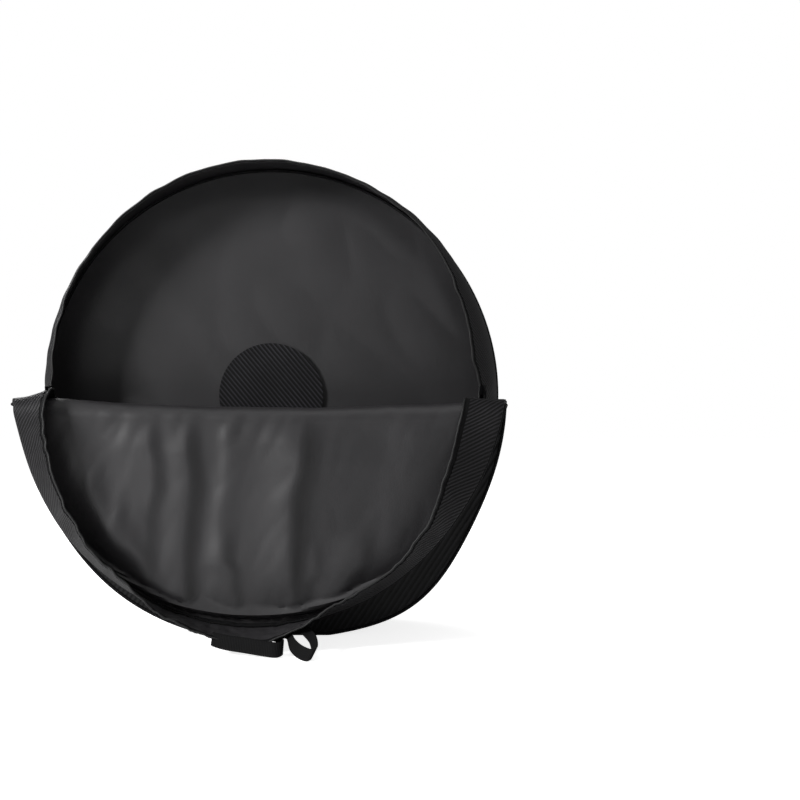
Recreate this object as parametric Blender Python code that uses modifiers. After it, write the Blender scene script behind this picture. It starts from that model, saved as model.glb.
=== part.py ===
# Round padded wheel bag, unzipped, with the upper half of its front folded down. Metres, +Z up.
# The origin is on the floor, in the middle of the flat that the bag stands on, and the bag faces -Y.
# Every piece is drawn as it lies when the bag is zipped shut, the way it is cut and sewn. The hinges
# then turn the fold, the flap and the strips of the flap into the open pose.
import math

import bmesh
import bpy
from mathutils import Matrix, Vector

COLLECTION = "wheel_bag"

# Driving sizes of the bag
BAG_RADIUS = 0.375
BAG_DEPTH = 0.160
FLOOR_SAG = 0.006
FOLD_DROP = 0.009
FOLD_WIDTH = 0.065
FLAP_STRIP_WIDTH = 0.062
MOUTH_DRAW_IN = 0.030

# Layers of the padded walls
OUTER_FABRIC = 0.0012
PANEL_FOAM = 0.005
LINING = 0.0008
LAYER_GAP = 0.0003
PIPING_RADIUS = 0.0024
PIPING_STAND_OUT = 0.0002
PIPING_STOP = 0.002
BINDING_WIDTH = 0.011
BINDING_THICKNESS = 0.0009
PATCH_RADIUS = 0.086
PATCH_THICKNESS = 0.0015

# Zip
TAPE_WIDTH = 0.0062
TAPE_THICKNESS = 0.0008
COIL_RADIUS = 0.0018
COIL_GAP = 0.0018
SLIDER_LENGTH = 0.014
SLIDER_WIDTH = 0.011
SLIDER_PLATE = 0.0018
SLIDER_CLEARANCE = 0.0008
SLIDER_WEB = 0.0010
SLIDER_PARK_HEIGHT = 0.016
PULL_LENGTH = 0.030
PULL_WIDTH = 0.008
PULL_THICKNESS = 0.0014
PULL_CLEARANCE = 0.0006
END_TAB_LENGTH = 0.024
END_TAB_WIDTH = 0.016
END_TAB_THICKNESS = 0.0016

# Handle and hanging loop, sewn to the strip at the flap's crown
HANDLE_CENTRE_X = -0.004
HANDLE_SPAN = 0.076
HANDLE_REACH = 0.045
HANDLE_WIDTH = 0.024
HANDLE_THICKNESS = 0.0024
HANDLE_SEAT = 0.030
HANDLE_CORNER = 0.016
LOOP_CENTRE_X = 0.072
LOOP_SPAN = 0.027
LOOP_REACH = 0.053
LOOP_WIDTH = 0.016
LOOP_THICKNESS = 0.0018
LOOP_SEAT = 0.040
LOOP_CORNER = 0.0095

# Angles of the open pose, in degrees, counted from the zipped one. Inwards is positive on a strip.
FOLD_OPEN = 90.0
FLAP_OPEN = 90.0
CORNER_OPEN = 90.0
LEFT_SIDE_OPEN = 55.0
RIGHT_SIDE_OPEN = 80.0
CROWN_OPEN = -25.0

# Angles above the horizontal, in degrees, where the flap's strip changes hinge
SIDE_END_ANGLE = 36.0
CROWN_START_ANGLE = 62.0
STRIP_BREAK = 0.0015

# Segment counts
HALF_TURN_SEGMENTS = 36
CORNER_SEGMENTS = 2
STRIP_SEGMENTS = 6
CROWN_SEGMENTS = 12
STRAP_BEND_SEGMENTS = 5
PATCH_SEGMENTS = 40
TUBE_RESOLUTION = 1

# Places worked out from the sizes
MIDDLE_Z = BAG_RADIUS - FLOOR_SAG
FOLD_Z = MIDDLE_Z - FOLD_DROP
FLAP_Z = FOLD_Z + FOLD_WIDTH
CROWN_Z = MIDDLE_Z + BAG_RADIUS
FRONT_Y = -BAG_DEPTH / 2
BACK_Y = BAG_DEPTH / 2
ZIP_Y = FRONT_Y + FLAP_STRIP_WIDTH
HINGE_Y = FRONT_Y - LAYER_GAP
PANEL_THICKNESS = OUTER_FABRIC + PANEL_FOAM + LINING + 2 * LAYER_GAP
LINED_WALL = OUTER_FABRIC + LAYER_GAP + LINING
LINING_RADIUS = BAG_RADIUS - OUTER_FABRIC - LAYER_GAP
INNER_RADIUS = BAG_RADIUS - LINED_WALL
PANEL_RADIUS = INNER_RADIUS - LAYER_GAP
BINDING_RADIUS = PANEL_RADIUS - LAYER_GAP
PANEL_LOWEST = 2 * PIPING_RADIUS + LAYER_GAP
PIPING_RING = BAG_RADIUS + PIPING_STAND_OUT
PIPING_Y = FRONT_Y + PIPING_RADIUS / 3
WALL_FRONT_Y = PIPING_Y + PIPING_RADIUS + LAYER_GAP
WALL_BACK_Y = -WALL_FRONT_Y
STRIP_Y = FRONT_Y + PANEL_THICKNESS + LAYER_GAP
GUSSET_Y = -STRIP_Y
CLOTH_EDGE_OFFSET = COIL_GAP / 2 + 2 * COIL_RADIUS + TAPE_WIDTH + LAYER_GAP
BODY_CLOTH_Y = ZIP_Y + CLOTH_EDGE_OFFSET
FLAP_CLOTH_Y = ZIP_Y - CLOTH_EDGE_OFFSET
MOUTH_RADIUS = BAG_RADIUS - MOUTH_DRAW_IN
MOUTH_Z = MIDDLE_Z + MOUTH_DRAW_IN
MOUTH_LEAN = math.atan2(MOUTH_DRAW_IN, GUSSET_Y - BODY_CLOTH_Y)
COIL_DEPTH = OUTER_FABRIC / 2
SIDE_END = math.radians(SIDE_END_ANGLE)
CROWN_START = math.radians(CROWN_START_ANGLE)
STRIP_BREAK_ANGLE = STRIP_BREAK / BAG_RADIUS
SLIDER_REACH = COIL_RADIUS + SLIDER_CLEARANCE
ALONG_X = Vector((1, 0, 0))
ALONG_Y = Vector((0, 1, 0))
ALONG_Z = Vector((0, 0, 1))

# The pieces of each body, and each body's hinge in the open pose: a point and a direction
BODIES = {}
HINGES = {}


def start_clean():
    for item in list(bpy.data.objects):
        bpy.data.objects.remove(item)
    group = bpy.data.collections.new(COLLECTION)
    bpy.context.scene.collection.children.link(group)


def material(name, colour, roughness, metallic=0.0):
    """One plain finish per kind of piece."""
    found = bpy.data.materials.get(name)
    if found:
        return found
    made = bpy.data.materials.new(name)
    made.use_nodes = True
    shader = made.node_tree.nodes["Principled BSDF"]
    shader.inputs["Base Color"].default_value = (*colour, 1.0)
    shader.inputs["Roughness"].default_value = roughness
    shader.inputs["Metallic"].default_value = metallic
    made.diffuse_color = (*colour, 1.0)
    return made


def ribbed_cloth():
    return material("ribbed_cloth", (0.016, 0.016, 0.018), 0.62)


def satin_lining():
    return material("satin_lining", (0.036, 0.036, 0.040), 0.42)


def grey_foam():
    return material("grey_foam", (0.22, 0.22, 0.23), 0.9)


def woven_trim():
    return material("woven_trim", (0.020, 0.020, 0.022), 0.7)


def zip_nylon():
    return material("zip_nylon", (0.012, 0.012, 0.013), 0.4)


def black_zinc():
    return material("black_zinc", (0.03, 0.03, 0.032), 0.35, 0.8)


def add_piece(name, data, finish, body):
    """A named object in the bag's collection, that rides on a body."""
    made = bpy.data.objects.new(name, data)
    data.materials.append(finish)
    bpy.data.collections[COLLECTION].objects.link(made)
    BODIES.setdefault(body, []).append(made)
    return made


def mesh_piece(name, bm, finish, body):
    """A closed solid with outward faces."""
    bmesh.ops.recalc_face_normals(bm, faces=bm.faces)
    mesh = bpy.data.meshes.new(name)
    bm.to_mesh(mesh)
    bm.free()
    return add_piece(name, mesh, finish, body)


def shares(count):
    return [i / count for i in range(count + 1)]


def height_angle(radius, height, centre_z=MIDDLE_Z):
    """Angle above the horizontal at which a round of that radius reaches a height."""
    return math.asin((height - centre_z) / radius)


def rim(radius, angle, lowest=0.0):
    """Point (x, z) on the bag's round, pressed flat where it meets the floor."""
    pressed = max(BAG_RADIUS - radius, lowest)
    return radius * math.cos(angle), max(MIDDLE_Z + radius * math.sin(angle), pressed)


def arc(radius, start, end, segments, lowest=0.0):
    """Points (x, z) along the bag's round, anticlockwise as seen from the front."""
    return [rim(radius, start + (end - start) * t, lowest) for t in shares(segments)]


def lower_arc(radius, lowest=0.0, height=FOLD_Z):
    """The round below a height, from its left end under the bag to its right end."""
    end = height_angle(radius, height - LAYER_GAP / 2)
    return arc(radius, -math.pi - end, end, HALF_TURN_SEGMENTS, lowest)


def upper_arc(radius, height=FOLD_Z):
    """The round above a height, from its right end over the top to its left end."""
    start = height_angle(radius, height + LAYER_GAP / 2)
    return arc(radius, start, math.pi - start, HALF_TURN_SEGMENTS)


def full_ring(radius, lowest=0.0):
    return lower_arc(radius, lowest) + upper_arc(radius)


def mouth_arc(depth):
    """The edge of the open mouth, which hangs from the top of the round and draws in at its sides."""
    radius = MOUTH_RADIUS - depth
    start = height_angle(radius, FOLD_Z + LAYER_GAP / 2, MOUTH_Z)
    angles = [start + (math.pi - 2 * start) * t for t in shares(HALF_TURN_SEGMENTS)]
    return [(radius * math.cos(a), MOUTH_Z + radius * math.sin(a)) for a in angles]


def at_y(points, y):
    return [(x, y, z) for x, z in points]


def plate(name, outline, y, thickness, finish, body):
    """A flat sheet cut to an (x, z) outline, its front face at y."""
    bm = bmesh.new()
    face = bm.faces.new([bm.verts.new(place) for place in at_y(outline, y)])
    grown = bmesh.ops.extrude_face_region(bm, geom=[face])
    moved = [v for v in grown["geom"] if isinstance(v, bmesh.types.BMVert)]
    bmesh.ops.translate(bm, verts=moved, vec=(0, thickness, 0))
    return mesh_piece(name, bm, finish, body)


def band(name, lines, thickness, finish, body):
    """A strip of cloth between two edges, drawn on its outer face and thickened inwards."""
    bm = bmesh.new()
    edges = []
    for line in lines:
        row = [bm.verts.new(place) for place in line]
        edges += [bm.edges.new(pair) for pair in zip(row, row[1:])]
    bmesh.ops.bridge_loops(bm, edges=edges)
    centre = Vector((0, 0, MIDDLE_Z))
    bm.normal_update()
    inward = [f for f in bm.faces if f.normal.dot(f.calc_center_median() - centre) < 0]
    bmesh.ops.reverse_faces(bm, faces=inward)
    mesh = bpy.data.meshes.new(name)
    bm.to_mesh(mesh)
    bm.free()
    made = add_piece(name, mesh, finish, body)
    solid = made.modifiers.new("cloth_thickness", "SOLIDIFY")
    solid.thickness = thickness
    solid.offset = -1.0
    solid.use_even_offset = True
    return made


def tube(name, line, radius, finish, body, cyclic=False):
    """Piping along a line of (x, y, z) points."""
    curve = bpy.data.curves.new(name, "CURVE")
    curve.dimensions = "3D"
    curve.bevel_depth = radius
    curve.bevel_resolution = TUBE_RESOLUTION
    curve.use_fill_caps = True
    spline = curve.splines.new("POLY")
    spline.points.add(len(line) - 1)
    for point, place in zip(spline.points, line):
        point.co = (*place, 1.0)
    spline.use_cyclic_u = cyclic
    return add_piece(name, curve, finish, body)


def sweep(name, lines, finish, body, cyclic=False):
    """A solid whose cross-section has one corner on each line, in order round the section."""
    bm = bmesh.new()
    loops = []
    for section in zip(*lines):
        corners = [bm.verts.new(place) for place in section]
        loops.append([bm.edges.new(pair) for pair in zip(corners, corners[1:] + corners[:1])])
    followers = loops[1:] + (loops[:1] if cyclic else [])
    for near, far in zip(loops, followers):
        bmesh.ops.bridge_loops(bm, edges=near + far)
    if not cyclic:
        bmesh.ops.holes_fill(bm, edges=loops[0] + loops[-1], sides=0)
    return mesh_piece(name, bm, finish, body)


def box_at(bm, centre, size):
    """A block added to a bmesh."""
    made = bmesh.ops.create_cube(bm, size=1.0)
    bmesh.ops.scale(bm, verts=made["verts"], vec=size)
    bmesh.ops.translate(bm, verts=made["verts"], vec=centre)


def panel(prefix, outline, y, facing, body):
    """Outer cloth, foam and lining of a padded wall. facing is -1 for a front wall and 1 for the back."""
    sheets = (
        ("outer", OUTER_FABRIC, ribbed_cloth()),
        ("foam", PANEL_FOAM, grey_foam()),
        ("lining", LINING, satin_lining()),
    )
    depth = 0.0
    for layer, thickness, finish in sheets:
        near = y - facing * depth
        front = near if facing < 0 else near - thickness
        plate(f"{prefix}_{layer}", outline, front, thickness, finish, body)
        depth += thickness + LAYER_GAP


def lined_strip(prefix, line_at, front_y, back_y, body):
    """Outer cloth and lining of a strip. line_at gives the (x, z) line of the strip at a radius."""
    line = line_at(BAG_RADIUS)
    band(f"{prefix}_outer", (at_y(line, front_y), at_y(line, back_y)), OUTER_FABRIC, ribbed_cloth(), body)
    line = line_at(LINING_RADIUS)
    band(f"{prefix}_lining", (at_y(line, front_y), at_y(line, back_y)), LINING, satin_lining(), body)


def zip_half(name, line_at, towards, body):
    """Tape of a zip with its coil along the edge. line_at gives the (x, z) line at a depth below the
    outer face of the cloth, and towards is the side of the zip that the tape is on."""
    edge = COIL_GAP / 2
    seam = edge + 2 * COIL_RADIUS
    section = (
        (-COIL_RADIUS, edge), (COIL_RADIUS, edge), (COIL_RADIUS, seam), (TAPE_THICKNESS / 2, seam),
        (TAPE_THICKNESS / 2, seam + TAPE_WIDTH), (-TAPE_THICKNESS / 2, seam + TAPE_WIDTH),
        (-TAPE_THICKNESS / 2, seam), (-COIL_RADIUS, seam),
    )
    lines = [at_y(line_at(COIL_DEPTH + depth), ZIP_Y + towards * offset) for depth, offset in section]
    sweep(name, lines, zip_nylon(), body)


def back_wall():
    """Round back wall, with the round patch inside that takes the hub's end."""
    panel("back_panel", full_ring(PANEL_RADIUS, PANEL_LOWEST), BACK_Y, 1, "bag_body")
    angles = [math.tau * t for t in shares(PATCH_SEGMENTS)[:-1]]
    patch = [(PATCH_RADIUS * math.cos(a), MIDDLE_Z + PATCH_RADIUS * math.sin(a)) for a in angles]
    patch_y = BACK_Y - PANEL_THICKNESS - LAYER_GAP - PATCH_THICKNESS
    plate("hub_patch", patch, patch_y, PATCH_THICKNESS, ribbed_cloth(), "bag_body")
    ring = at_y(full_ring(PIPING_RING, PIPING_RADIUS), -PIPING_Y)
    tube("back_piping", ring, PIPING_RADIUS, woven_trim(), "bag_body", cyclic=True)


def lower_body():
    """Lower half of the front wall, and the full-width strip that joins it to the back wall."""
    panel("lower_front", lower_arc(PANEL_RADIUS, PANEL_LOWEST), FRONT_Y, -1, "bag_body")
    ring = at_y(lower_arc(PIPING_RING, PIPING_RADIUS, FOLD_Z - PIPING_STOP), PIPING_Y)
    tube("lower_front_piping", ring, PIPING_RADIUS, woven_trim(), "bag_body")
    lined_strip("lower_gusset", lower_arc, WALL_FRONT_Y, WALL_BACK_Y, "bag_body")


def rear_gusset():
    """Strip from the back wall to the mouth of the bag, with the zip's fixed half along its edge."""
    outer = (at_y(mouth_arc(0.0), BODY_CLOTH_Y), at_y(upper_arc(BAG_RADIUS), GUSSET_Y))
    band("rear_gusset_outer", outer, OUTER_FABRIC, ribbed_cloth(), "bag_body")
    inner = (at_y(mouth_arc(OUTER_FABRIC + LAYER_GAP), BODY_CLOTH_Y), at_y(upper_arc(LINING_RADIUS), GUSSET_Y))
    band("rear_gusset_lining", inner, LINING, satin_lining(), "bag_body")
    zip_half("body_zip", mouth_arc, 1, "bag_body")


def leaning_line(y, depth):
    """The line at y and at a depth below the inner face of the rear gusset."""
    share = (GUSSET_Y - y) / (GUSSET_Y - BODY_CLOTH_Y)
    mouth = mouth_arc(LINED_WALL + 2 * LAYER_GAP + depth)
    pairs = zip(upper_arc(BINDING_RADIUS - depth), mouth)
    return [(x + (mx - x) * share, y, z + (mz - z) * share) for (x, z), (mx, mz) in pairs]


def seam_bindings():
    """Tape over the raw seams inside: all round the back wall, and along the lower front wall."""
    back_y = GUSSET_Y
    front_y = back_y - BINDING_WIDTH
    section = ((front_y, 0.0), (back_y, 0.0), (back_y, BINDING_THICKNESS), (front_y, BINDING_THICKNESS))
    lines = [at_y(lower_arc(BINDING_RADIUS - depth), y) + leaning_line(y, depth) for y, depth in section]
    sweep("back_seam_binding", lines, woven_trim(), "bag_body", cyclic=True)
    lower = lower_arc(BINDING_RADIUS)
    lines = (at_y(lower, -back_y), at_y(lower, -front_y))
    band("lower_seam_binding", lines, BINDING_THICKNESS, woven_trim(), "bag_body")


def side_arcs(radius, low_z, high_z, segments):
    """Short arcs at the right and the left of the round, between two heights."""
    low = height_angle(radius, low_z)
    high = height_angle(radius, high_z)
    return arc(radius, low, high, segments), arc(radius, math.pi - high, math.pi - low, segments)


def fold_and_flap():
    """The soft fold and the flap: the upper part of the front wall, with its piping."""
    low = FOLD_Z + LAYER_GAP / 2
    high = FLAP_Z - LAYER_GAP / 2
    right, left = side_arcs(PANEL_RADIUS, low, high, CORNER_SEGMENTS)
    panel("fold", right + left, FRONT_Y, -1, "fold")
    ends = side_arcs(PIPING_RING, FOLD_Z + PIPING_STOP, FLAP_Z - PIPING_STOP, CORNER_SEGMENTS)
    for word, line in zip(("right", "left"), ends):
        tube(f"fold_piping_{word}", at_y(line, PIPING_Y), PIPING_RADIUS, woven_trim(), "fold")
    panel("flap", upper_arc(PANEL_RADIUS, FLAP_Z), FRONT_Y, -1, "flap")
    ring = at_y(upper_arc(PIPING_RING, FLAP_Z + PIPING_STOP), PIPING_Y)
    tube("flap_piping", ring, PIPING_RADIUS, woven_trim(), "flap")


def flap_strip(prefix, span, segments, body):
    """A length of the flap's lined strip, with the zip's loose half along its edge. The span is a start
    and an end angle."""
    def line_at(radius):
        return arc(radius, *span, segments)

    lined_strip(f"{prefix}_strip", line_at, STRIP_Y, FLAP_CLOTH_Y, body)
    zip_half(f"{prefix}_zip", lambda depth: line_at(BAG_RADIUS - depth), -1, body)


def strip_spans():
    """Start and end angles of each length of the flap's strip, on the right half of the round."""
    low = height_angle(BAG_RADIUS, FOLD_Z) + STRIP_BREAK_ANGLE
    fold_end = height_angle(BAG_RADIUS, FLAP_Z)
    half_break = STRIP_BREAK_ANGLE / 2
    return {
        "corner": (low, fold_end - half_break),
        "side": (fold_end + half_break, SIDE_END - half_break),
        "shoulder": (SIDE_END + half_break, CROWN_START - half_break),
        "crown": (CROWN_START + half_break, math.pi - CROWN_START - half_break),
    }


def mirrored(span):
    return math.pi - span[1], math.pi - span[0]


def flap_strips():
    spans = strip_spans()
    flap_strip("right_corner", spans["corner"], CORNER_SEGMENTS, "right_corner")
    flap_strip("left_corner", mirrored(spans["corner"]), CORNER_SEGMENTS, "left_corner")
    flap_strip("right_side", spans["side"], STRIP_SEGMENTS, "right_side")
    flap_strip("left_side", mirrored(spans["side"]), STRIP_SEGMENTS, "left_side")
    flap_strip("right_shoulder", spans["shoulder"], STRIP_SEGMENTS, "flap")
    flap_strip("left_shoulder", mirrored(spans["shoulder"]), STRIP_SEGMENTS, "flap")
    flap_strip("crown", spans["crown"], CROWN_SEGMENTS, "crown")


def end_tabs():
    """Tabs sewn over the ends of the zip, on the outer face of the drawn-in mouth."""
    low = FOLD_Z + LAYER_GAP
    high = low + END_TAB_LENGTH
    widest = math.sqrt(MOUTH_RADIUS ** 2 - (high - MOUTH_Z) ** 2)
    start_x = widest + LAYER_GAP / math.cos(MOUTH_LEAN)
    size = Vector((END_TAB_THICKNESS, END_TAB_WIDTH, END_TAB_LENGTH))
    for word, mirror in (("right", 1), ("left", -1)):
        bm = bmesh.new()
        box_at(bm, size / 2, size)
        place = Matrix.Translation((start_x, BODY_CLOTH_Y, low)) @ Matrix.Rotation(-MOUTH_LEAN, 4, ALONG_Z)
        bmesh.ops.transform(bm, matrix=Matrix.Scale(mirror, 4, ALONG_X) @ place, verts=bm.verts)
        mesh_piece(f"zip_end_tab_{word}", bm, woven_trim(), f"{word}_mouth")
        HINGES[f"{word}_mouth"] = (Vector((mirror * BAG_RADIUS, BACK_Y, MIDDLE_Z)), ALONG_Z * mirror)


def slider_and_pull(word, mirror):
    """A slider of H section round the zip's coil, and its flat pull, both parked at the zip's end."""
    coil_radius = MOUTH_RADIUS - COIL_DEPTH
    park = height_angle(coil_radius, FOLD_Z + SLIDER_PARK_HEIGHT, MOUTH_Z)
    centre = Matrix.Translation((0, ZIP_Y, MOUTH_Z)) @ Matrix.Rotation(-park, 4, ALONG_Y)
    place = Matrix.Scale(mirror, 4, ALONG_X) @ centre @ Matrix.Translation((coil_radius, 0, 0))
    outside = SLIDER_REACH + SLIDER_PLATE
    half_web = SLIDER_WEB / 2
    half_width = SLIDER_WIDTH / 2
    quarter = ((outside, half_width), (SLIDER_REACH, half_width), (SLIDER_REACH, half_web))
    right = list(quarter) + [(-x, y) for x, y in reversed(quarter)]
    profile = right + [(x, -y) for x, y in reversed(right)]
    bm = bmesh.new()
    face = bm.faces.new([bm.verts.new((x, y, -SLIDER_LENGTH / 2)) for x, y in profile])
    grown = bmesh.ops.extrude_face_region(bm, geom=[face])
    moved = [v for v in grown["geom"] if isinstance(v, bmesh.types.BMVert)]
    bmesh.ops.translate(bm, verts=moved, vec=(0, 0, SLIDER_LENGTH))
    bmesh.ops.transform(bm, matrix=place, verts=bm.verts)
    mesh_piece(f"zip_slider_{word}", bm, black_zinc(), f"{word}_slider")
    HINGES[f"{word}_slider"] = (Vector((0, ZIP_Y, MOUTH_Z)), -ALONG_Y * mirror)

    pivot = Vector((outside + PULL_CLEARANCE + PULL_THICKNESS / 2, 0, 0))
    middle = pivot + Vector((0, 0, PULL_THICKNESS / 2 - PULL_LENGTH / 2))
    bm = bmesh.new()
    box_at(bm, middle, (PULL_THICKNESS, PULL_WIDTH, PULL_LENGTH))
    bmesh.ops.transform(bm, matrix=place, verts=bm.verts)
    mesh_piece(f"zip_pull_{word}", bm, black_zinc(), f"{word}_pull")
    HINGES[f"{word}_pull"] = (place @ pivot, -ALONG_Y * mirror)


def turn_about(point, direction, degrees):
    to_point = Matrix.Translation(point)
    return to_point @ Matrix.Rotation(math.radians(degrees), 4, direction) @ to_point.inverted()


def bent_line(half_span, start_y, end_y, corner, z):
    """A line that runs back along one side of a strap, round two corners and forward again."""
    quarter = [math.pi / 2 * t for t in shares(STRAP_BEND_SEGMENTS)]
    middle_x = half_span - corner
    middle_y = end_y - corner
    half = [(middle_x + corner * math.cos(a), middle_y + corner * math.sin(a)) for a in quarter]
    half.insert(0, (half_span, start_y))
    return [(x, y, z) for x, y in half] + [(-x, y, z) for x, y in reversed(half)]


def strap(name, centre_x, span, seat, reach, corner, width, thickness):
    """A webbing strap, sewn down at both ends, that lies flat over the crown of the strip."""
    half = width / 2
    inner = span / 2 - half
    drop = BAG_RADIUS - math.sqrt(BAG_RADIUS ** 2 - inner ** 2)
    z = CROWN_Z - drop + COIL_RADIUS - COIL_DEPTH + LAYER_GAP + thickness
    start_y = STRIP_Y + seat
    lines = [bent_line(span / 2 + out, start_y, start_y + reach + out, corner + out, z)
             for out in (-half, half)]
    made = band(name, lines, thickness, woven_trim(), name)
    roll = turn_about(Vector((0, 0, MIDDLE_Z)), ALONG_Y, math.degrees(centre_x / BAG_RADIUS))
    made.data.transform(roll)
    HINGES[name] = (roll @ Vector((0, start_y, z - thickness / 2)), roll.to_3x3() @ ALONG_X)


def straps():
    strap("carry_handle", HANDLE_CENTRE_X, HANDLE_SPAN, HANDLE_SEAT, HANDLE_REACH, HANDLE_CORNER,
          HANDLE_WIDTH, HANDLE_THICKNESS)
    strap("hang_loop", LOOP_CENTRE_X, LOOP_SPAN, LOOP_SEAT, LOOP_REACH, LOOP_CORNER,
          LOOP_WIDTH, LOOP_THICKNESS)


def strip_hinge(span, opening):
    """Hinge line of a strip: the chord of its seam if it turns inwards, or the tangent if outwards."""
    if opening < 0:
        return Vector((0, STRIP_Y, MIDDLE_Z + INNER_RADIUS)), -ALONG_X
    ends = [Vector((x, STRIP_Y, z)) for x, z in (rim(INNER_RADIUS, a) for a in span)]
    return (ends[0] + ends[1]) / 2, (ends[1] - ends[0]).normalized()


def open_bag():
    """Turn each body from the zipped pose to the open one, and put its origins on its hinge."""
    fold_line = Vector((0, HINGE_Y, FOLD_Z))
    flap_line = Vector((0, HINGE_Y, FLAP_Z))
    fold = turn_about(fold_line, ALONG_X, FOLD_OPEN)
    flap = fold @ turn_about(flap_line, ALONG_X, FLAP_OPEN)
    turns = {"fold": fold, "flap": flap}
    HINGES["fold"] = (fold_line, -ALONG_X)
    HINGES["flap"] = (fold @ flap_line, -ALONG_X)
    spans = strip_spans()
    strips = (
        ("right_corner", spans["corner"], CORNER_OPEN, fold),
        ("left_corner", mirrored(spans["corner"]), CORNER_OPEN, fold),
        ("right_side", spans["side"], RIGHT_SIDE_OPEN, flap),
        ("left_side", mirrored(spans["side"]), LEFT_SIDE_OPEN, flap),
        ("crown", spans["crown"], CROWN_OPEN, flap),
    )
    for name, span, opening, carrier in strips:
        point, direction = strip_hinge(span, opening)
        turns[name] = carrier @ turn_about(point, direction, opening)
        closing = -1 if opening > 0 else 1
        HINGES[name] = (carrier @ point, closing * (carrier.to_3x3() @ direction))
    for name in ("carry_handle", "hang_loop"):
        point, direction = HINGES[name]
        turns[name] = turns["crown"]
        HINGES[name] = (turns["crown"] @ point, turns["crown"].to_3x3() @ direction)
    for name, pieces in BODIES.items():
        pivot = HINGES[name][0] if name in HINGES else Vector()
        turn = turns.get(name, Matrix.Identity(4))
        for piece in pieces:
            piece.data.transform(Matrix.Translation(-pivot) @ turn)
            piece.location = pivot


def build():
    start_clean()
    back_wall()
    lower_body()
    rear_gusset()
    seam_bindings()
    fold_and_flap()
    flap_strips()
    end_tabs()
    slider_and_pull("right", 1)
    slider_and_pull("left", -1)
    straps()
    open_bag()


build()
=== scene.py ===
import math

import bmesh
import bpy
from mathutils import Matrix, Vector, noise


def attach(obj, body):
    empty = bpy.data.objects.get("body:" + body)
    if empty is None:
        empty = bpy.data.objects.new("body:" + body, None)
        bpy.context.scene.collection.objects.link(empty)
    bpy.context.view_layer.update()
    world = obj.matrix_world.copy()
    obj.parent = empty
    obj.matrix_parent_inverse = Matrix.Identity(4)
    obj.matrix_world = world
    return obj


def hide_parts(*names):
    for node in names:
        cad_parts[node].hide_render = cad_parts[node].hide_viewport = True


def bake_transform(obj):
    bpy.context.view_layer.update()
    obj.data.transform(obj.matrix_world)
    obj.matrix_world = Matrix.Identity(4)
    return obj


# The padded wheel bag stands open. Its front wall is folded down over the lower half, and the cloth
# strips round its walls lean in where nothing holds them out.

# All lengths are in metres. The right is +x, the front is -y. "Shut height" is a point's height
# when the front is zipped up.

# the round walls: the bag's outer radius, the height of its middle, and the walls' own radius
RADIUS = 0.375
MIDDLE = 0.369
PANEL = 0.3724
# where the lower front, the hanging flap and the back lie, in y
FRONT_Y = -0.080
FLAP_Y = -0.1456
BACK_Y = 0.080
# shut heights between which the front bends over, and the radius of each of the two bends
FOLD_LOW = 0.360
FOLD_HIGH = 0.425
FOLD_TOP = (FOLD_LOW + FOLD_HIGH) / 2
ROLL = 0.021
# the free edge of the body's upper strip: its radius, its middle's height, and its y
MOUTH = 0.345
MOUTH_MIDDLE = 0.399
MOUTH_Y = -0.003
# the flap's strip and the zip tape along it
STRIP_WIDTH = 0.0575
TAPE_WIDTH = 0.009
# how deep each layer lies in a wall, and how thick it is
OUTER, FOAM, LINING = 0.0006, 0.0040, 0.0072
CLOTH_THICK, FOAM_THICK, SATIN_THICK, TAPE_THICK = 0.0012, 0.0046, 0.0007, 0.0008
# how deep a strip's cloth and lining lie
STRIP_CLOTH_DEPTH, STRIP_SATIN_DEPTH = 0.0006, 0.0022
# the rest of the trim: the round that the piping follows, down the flap and over the fold
PIPING_ROUND, FOLD_PIPING_ROUND, PIPING_RADIUS = 0.3752, 0.3748, 0.0025
COIL_RADIUS = 0.0019
BINDING_THICK = 0.0016
PATCH_RADIUS = 0.086
# half the depth of the lower strip, and the y of the upper strip's back seam
BODY_HALF_DEPTH = 0.0768
BACK_SEAM_Y = 0.0765
# degrees below level at which the seams of the body end, and the flap's strip
SEAM_END = 1.4
STRIP_END = 5.6
# how low each kind of piece may come where the bag stands on the floor
PADDING_LOW, BINDING_LOW, PIPING_LOW = 0.0055, 0.004, 0.0026
# metres of the round in one degree
PER_DEGREE = 0.0065
# one band of Blender's wave texture at scale 1
WAVE_BAND = 0.31416


# ---------------------------------------------------------------- small tools
def mix(a, b, t):
    """From a at t = 0 to b at t = 1."""
    return a + (b - a) * t


def smooth(t):
    """A soft step from 0 to 1."""
    t = min(1.0, max(0.0, t))
    return t * t * (3 - 2 * t)


def table(pairs, x):
    """The value at x on a smooth line through the pairs."""
    if x <= pairs[0][0]:
        return pairs[0][1]
    for (x0, y0), (x1, y1) in zip(pairs, pairs[1:]):
        if x <= x1:
            return mix(y0, y1, smooth((x - x0) / (x1 - x0)) * 0.5 + (x - x0) / (x1 - x0) * 0.5)
    return pairs[-1][1]


def ripple(x, y, seed, size):
    """Soft uneven waves from -1 to 1, one wave in about that many metres."""
    return noise.noise(Vector((x / size, y / size, seed)))


# ---------------------------------------------------------------- materials
def linear(code):
    """An sRGB hex colour as linear RGBA."""
    channels = [int(code[i : i + 2], 16) / 255 for i in (1, 3, 5)]
    return tuple(c / 12.92 if c <= 0.04045 else ((c + 0.055) / 1.055) ** 2.4 for c in channels) + (1,)


def add(tree, kind, inputs=None, **settings):
    """Adds a node, and links or sets its inputs."""
    made = tree.nodes.new(kind)
    for name, value in settings.items():
        setattr(made, name, value)
    for name, value in (inputs or {}).items():
        if isinstance(value, bpy.types.NodeSocket):
            tree.links.new(value, made.inputs[name])
        else:
            made.inputs[name].default_value = value
    return made


def new_material(name):
    """An empty node material and its tree."""
    material = bpy.data.materials.new(name)
    material.use_nodes = True
    tree = material.node_tree
    tree.nodes.clear()
    return material, tree


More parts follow.
